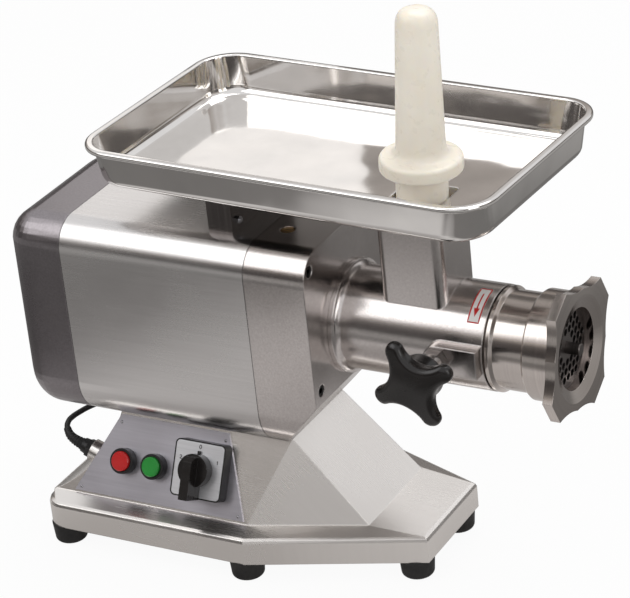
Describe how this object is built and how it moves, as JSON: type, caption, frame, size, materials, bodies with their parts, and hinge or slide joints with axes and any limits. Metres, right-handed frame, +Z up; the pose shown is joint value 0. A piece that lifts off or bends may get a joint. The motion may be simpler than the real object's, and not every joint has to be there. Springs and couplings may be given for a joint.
{
  "type": "electric meat grinder",
  "caption": "Electric meat grinder: motor housing on a pedestal base, clamped grinding head with worm, knife, perforated plate and ring nut, feed tray and pusher.",
  "frame": {"origin": "middle of the machine's floor box, on the surface its feet stand on", "axes": "+X towards the outlet, along the worm's axis; +Z up; the control panel faces -Y"},
  "size_m": [0.648, 0.4274, 0.6461],
  "materials": {
    "cast_steel": "tinned and ground smooth",
    "cast_aluminium": "polished casting",
    "brushed_sheet": "brushed",
    "polished_sheet": "mirror polished",
    "stainless": "turned, lightly polished",
    "steel": "machined",
    "dark_steel": "blackened",
    "core_steel": "laminated",
    "zinc": "zinc plated",
    "brass": "machined",
    "copper": "varnished wire",
    "panel_grey": "satin",
    "dial_plate": "satin anodised",
    "red_plastic": "semi-gloss",
    "green_plastic": "semi-gloss",
    "black_plastic": "satin",
    "black_gloss": "gloss",
    "milky_plastic": "smooth, slightly translucent",
    "rubber": "matt"
  },
  "bodies": {
    "base": {"base_casting": "cast_steel", "bottom_plate": "zinc", "bottom_plate_screws": "zinc", "rubber_feet": "rubber", "foot_screws": "zinc", "control_panel": "panel_grey", "panel_rivets": "zinc", "stop_button_body": "black_plastic", "start_button_body": "black_plastic", "button_ring_nuts": "black_plastic", "switch_cam_block": "black_plastic", "switch_bezel": "black_plastic", "switch_face": "dial_plate", "cable_gland": "black_plastic", "strain_relief": "rubber", "mains_cord": "rubber", "cord_coil": "rubber", "mains_plug": "rubber", "gearbox_casting": "cast_aluminium", "gearbox_screws": "dark_steel", "oil_plug": "brass", "front_end_shield": "cast_aluminium", "motor_sleeve": "brushed_sheet", "motor_frame": "cast_aluminium", "frame_bolts": "zinc", "rear_end_shield": "cast_aluminium", "rear_cover": "cast_aluminium", "cover_screws": "zinc", "stator_core": "core_steel", "stator_windings": "copper", "motor_bearings": "steel", "layshaft_bearings": "steel", "output_bearings": "steel", "oil_seal": "rubber", "head_casting": "cast_aluminium", "head_screws": "dark_steel", "barrel": "stainless", "worm_bushing": "brass", "grinder_plate": "steel", "tray_bracket": "brushed_sheet", "bracket_clips": "zinc", "bracket_bolts": "zinc"},
    "switch": {"switch_knob": "black_gloss", "switch_shaft": "steel"},
    "rotor": {"rotor_core": "core_steel", "rotor_shaft": "steel", "cooling_fan": "black_plastic"},
    "intermediate shaft": {"layshaft_gear": "steel", "layshaft": "steel"},
    "worm": {"output_gear": "steel", "output_shaft": "steel", "worm": "cast_steel", "knife": "steel"},
    "ring nut": {"ring_nut": "stainless"},
    "clamp knob": {"star_knob": "black_gloss", "knob_stud": "steel"},
    "tray": {"tray": "polished_sheet"},
    "pusher": {"pusher": "milky_plastic"},
    "stop button": {"stop_button_cap": "red_plastic"},
    "start button": {"start_button_cap": "green_plastic"}
  },
  "joints": [
    {"name": "tray_lift", "type": "slide", "parent": "base", "child": "tray", "axis": [0, 0, 1], "range_m": [0, 0.25]},
    {"name": "pusher_lift", "type": "slide", "parent": "tray", "child": "pusher", "axis": [0.0523, 0, 0.9986], "range_m": [0, 0.35]},
    {"name": "ring_nut_turn", "type": "hinge", "parent": "base", "child": "ring nut", "pos_m": [0.323, -0.03603, 0.2815], "axis": [1, 0, 0], "range_deg": [0, 720]},
    {"name": "clamp_knob_turn", "type": "hinge", "parent": "base", "child": "clamp knob", "pos_m": [0.19, -0.12843, 0.2825], "axis": [0, -1, 0], "range_deg": [0, 720]},
    {"name": "stop_press", "type": "slide", "parent": "base", "child": "stop button", "axis": [0, 0.8904, -0.4552], "range_m": [0, 0.004], "stiffness_N_per_m": 600},
    {"name": "start_press", "type": "slide", "parent": "base", "child": "start button", "axis": [0, 0.8904, -0.4552], "range_m": [0, 0.004], "stiffness_N_per_m": 600},
    {"name": "switch_turn", "type": "hinge", "parent": "base", "child": "switch", "pos_m": [-0.103, -0.12236, 0.1048], "axis": [0, -0.8904, 0.4552], "range_deg": [-60, 60]},
    {"name": "worm_spin", "type": "hinge", "parent": "base", "child": "worm", "pos_m": [0.058, -0.03603, 0.2815], "axis": [1, 0, 0], "continuous": true},
    {"name": "layshaft_spin", "type": "hinge", "parent": "base", "child": "intermediate shaft", "pos_m": [0.058, -0.03603, 0.2175], "axis": [1, 0, 0], "continuous": true},
    {"name": "rotor_spin", "type": "hinge", "parent": "base", "child": "rotor", "pos_m": [-0.092, -0.03603, 0.2815], "axis": [1, 0, 0], "continuous": true}
  ],
  "couplings": [
    {"joint": "layshaft_spin", "follows": "worm_spin", "ratio": -2.5556},
    {"joint": "rotor_spin", "follows": "worm_spin", "ratio": 7.6667}
  ]
}
